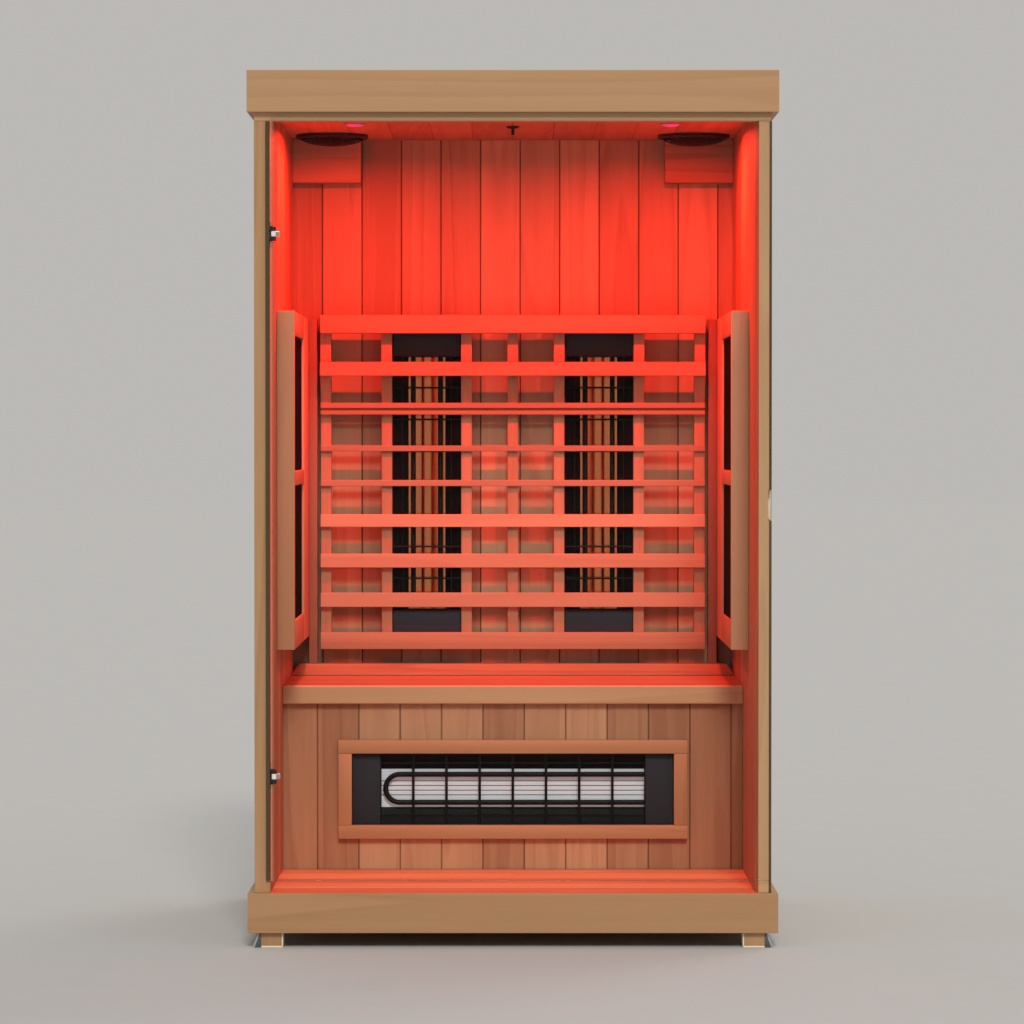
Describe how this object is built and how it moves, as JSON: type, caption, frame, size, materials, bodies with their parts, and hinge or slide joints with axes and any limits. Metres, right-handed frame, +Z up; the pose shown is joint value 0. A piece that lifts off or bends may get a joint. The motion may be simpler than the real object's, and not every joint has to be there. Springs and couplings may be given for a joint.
{
  "type": "infrared sauna cabin",
  "caption": "Upright timber sauna cabin with a full-width clear glass door, board-lined walls, a bench with a slatted backrest, radiant heaters and coloured ceiling lights.",
  "frame": {"origin": "on the floor under the middle of the cabin", "axes": "+Z up, +Y to the back of the cabin, +X to the right as seen from the door"},
  "size_m": [1.18, 1, 1.95],
  "materials": {
    "shell_timber": "satin oiled",
    "lining_timber": "satin oiled",
    "slat_timber": "satin oiled",
    "door_glass": "clear",
    "seal": "matt",
    "hinge_leaf": "black",
    "hinge_clamp": "polished",
    "heater_housing": "satin black",
    "calf_reflector": "polished",
    "back_reflector": "polished",
    "heating_rod": "black glazed",
    "carbon_panel": "matt black",
    "speaker": "matt black",
    "light_lens": "clear red",
    "sensor": "matt black",
    "power_box": "matt grey",
    "mains_inlet": "matt black"
  },
  "bodies": {
    "cabin": {"plinth_front": "shell_timber", "plinth_rear": "shell_timber", "plinth_left": "shell_timber", "plinth_right": "shell_timber", "floor_panel": "lining_timber", "foot_front_left": "shell_timber", "foot_front_right": "shell_timber", "foot_rear_left": "shell_timber", "foot_rear_right": "shell_timber", "left_wall": "lining_timber", "right_wall": "lining_timber", "back_wall": "lining_timber", "front_header": "shell_timber", "ceiling_panel": "lining_timber", "crown_front": "shell_timber", "crown_rear": "shell_timber", "crown_left": "shell_timber", "crown_right": "shell_timber", "roof_cover": "shell_timber", "power_box": "power_box", "mains_inlet": "mains_inlet", "hinge_seal": "seal", "upper_hinge_leaf": "hinge_leaf", "lower_hinge_leaf": "hinge_leaf", "bench_seat": "lining_timber", "bench_nosing": "shell_timber", "bench_rear_rail": "lining_timber", "bench_front_panel": "lining_timber", "calf_heater_surround": "shell_timber", "calf_heater_housing": "heater_housing", "calf_heater_reflector": "calf_reflector", "calf_heater_element": "heating_rod", "left_back_heater_housing": "heater_housing", "left_back_heater_reflector": "back_reflector", "left_back_heater_element": "heating_rod", "right_back_heater_housing": "heater_housing", "right_back_heater_reflector": "back_reflector", "right_back_heater_element": "heating_rod", "backrest_frame": "slat_timber", "backrest_slat_1": "slat_timber", "backrest_slat_2": "slat_timber", "backrest_slat_3": "slat_timber", "backrest_slat_4": "slat_timber", "backrest_slat_5": "slat_timber", "backrest_slat_6": "slat_timber", "backrest_slat_7": "slat_timber", "left_heater_frame": "slat_timber", "left_carbon_panel": "carbon_panel", "right_heater_frame": "slat_timber", "right_carbon_panel": "carbon_panel", "left_speaker": "speaker", "right_speaker": "speaker", "left_corner_block": "lining_timber", "right_corner_block": "lining_timber", "left_ceiling_light": "light_lens", "right_ceiling_light": "light_lens", "temperature_sensor": "sensor"},
    "door": {"door_glass": "door_glass", "upper_hinge_clamp": "hinge_clamp", "lower_hinge_clamp": "hinge_clamp"}
  },
  "joints": [
    {"name": "door_hinge", "type": "hinge", "parent": "cabin", "child": "door", "pos_m": [-0.531, -0.49346, 0.998], "axis": [0, 0, -1], "range_deg": [0, 110]}
  ]
}
